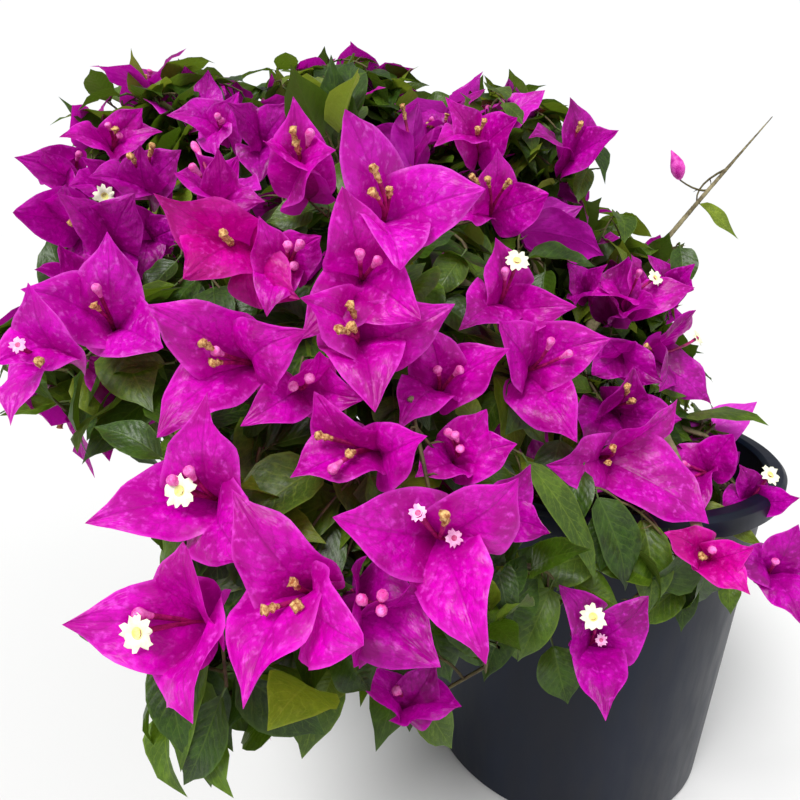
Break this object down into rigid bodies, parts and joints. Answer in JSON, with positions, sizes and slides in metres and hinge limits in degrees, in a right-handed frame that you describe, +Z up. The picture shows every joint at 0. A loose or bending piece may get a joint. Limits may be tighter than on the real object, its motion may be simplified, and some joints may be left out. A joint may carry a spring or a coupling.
{
  "type": "potted bougainvillea bush",
  "caption": "Bushy flowering shrub in a round nursery pot: a short forked stem, arching boughs, and masses of magenta bracts and green leaves that hang over the rim.",
  "frame": {"origin": "middle of the pot's flat underside, where it stands on the ground", "axes": "+Z up, +X to the viewer's right and +Y away from the viewer of the crown's full side; the crown leans to -X"},
  "size_m": [0.7517, 0.6404, 0.6144],
  "materials": {
    "pot": "matte moulded",
    "mix": "damp and crumbly",
    "bark": "rough",
    "bracts": "papery with a soft sheen",
    "leaves": "satin"
  },
  "bodies": {
    "root": {"blossom_back": "bracts", "blossom_front": "bracts", "blossom_left": "bracts", "blossom_left_back": "bracts", "blossom_left_low": "bracts", "blossom_right": "bracts", "blossom_right_back": "bracts", "blossom_right_low": "bracts", "blossom_rim": "bracts", "blossom_top_back": "bracts", "blossom_top_front": "bracts", "blossom_top_left": "bracts", "blossom_top_right": "bracts", "bough_blossom_back": "bark", "bough_blossom_front": "bark", "bough_blossom_left": "bark", "bough_blossom_left_back": "bark", "bough_blossom_left_low": "bark", "bough_blossom_right": "bark", "bough_blossom_right_back": "bark", "bough_blossom_right_low": "bark", "bough_blossom_rim": "bark", "bough_blossom_top_back": "bark", "bough_blossom_top_front": "bark", "bough_blossom_top_left": "bark", "bough_blossom_top_right": "bark", "bough_leaves_back_low": "bark", "bough_leaves_front_low": "bark", "bough_leaves_left_inner": "bark", "bough_leaves_middle": "bark", "bough_leaves_right_back": "bark", "bough_long_shoot": "bark", "leaves_back_low": "leaves", "leaves_front_low": "leaves", "leaves_left_inner": "leaves", "leaves_middle": "leaves", "leaves_right_back": "leaves", "long_shoot": "leaves", "main_stem": "bark", "pot": "pot", "potting_mix": "mix"}
  },
  "joints": []
}
